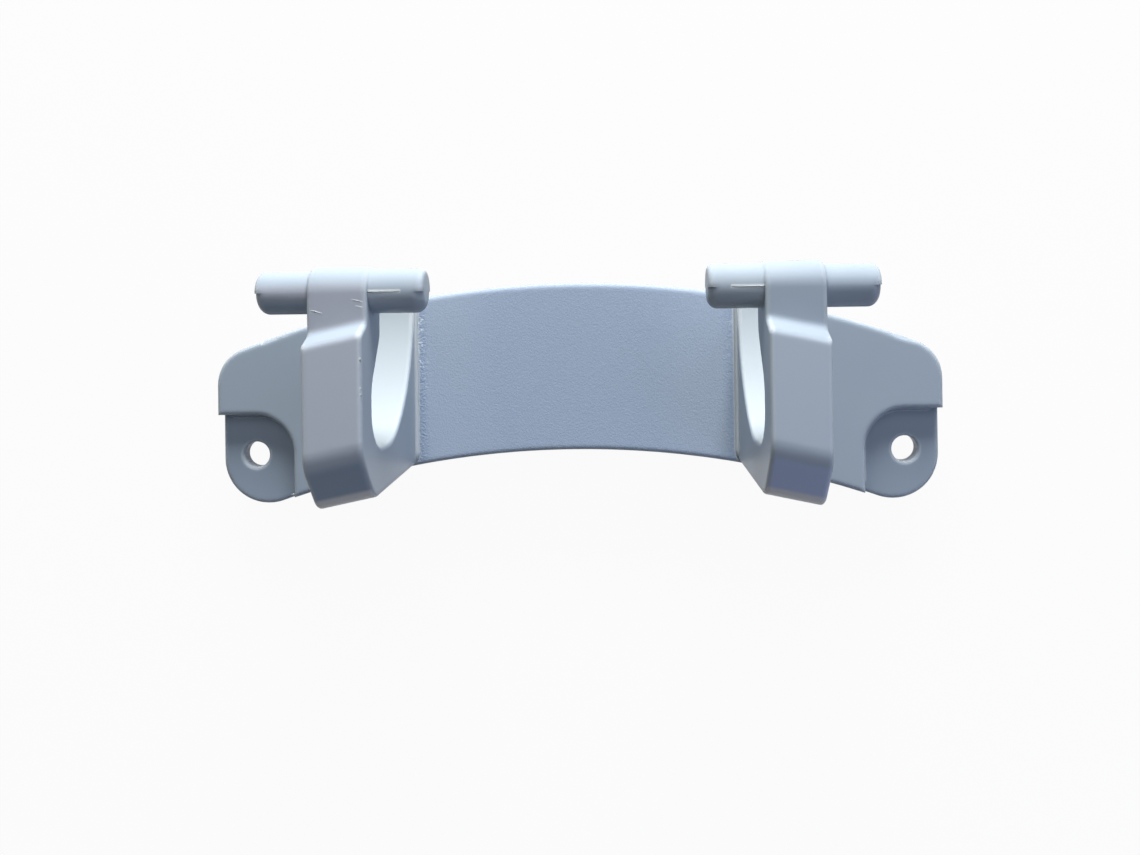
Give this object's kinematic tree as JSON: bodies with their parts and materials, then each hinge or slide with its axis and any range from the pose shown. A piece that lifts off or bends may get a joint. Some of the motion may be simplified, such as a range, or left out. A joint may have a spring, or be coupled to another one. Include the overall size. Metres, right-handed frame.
{
  "type": "washing machine door hinge",
  "caption": "Die-cast door hinge: curved plate with screw ears, hooked arms ending in pivot studs, pocketed back with hook lugs.",
  "frame": {"origin": "on the back face, midway between the two screw holes", "axes": "+X from screw hole to screw hole, +Y from the holes towards the pivot studs, +Z from the back face towards the arms"},
  "size_m": [0.1818, 0.0583, 0.0601],
  "materials": {
    "hinge_casting": "satin grey-blue paint on a die casting"
  },
  "bodies": {
    "root": {"hinge_casting": "hinge_casting"}
  },
  "joints": []
}
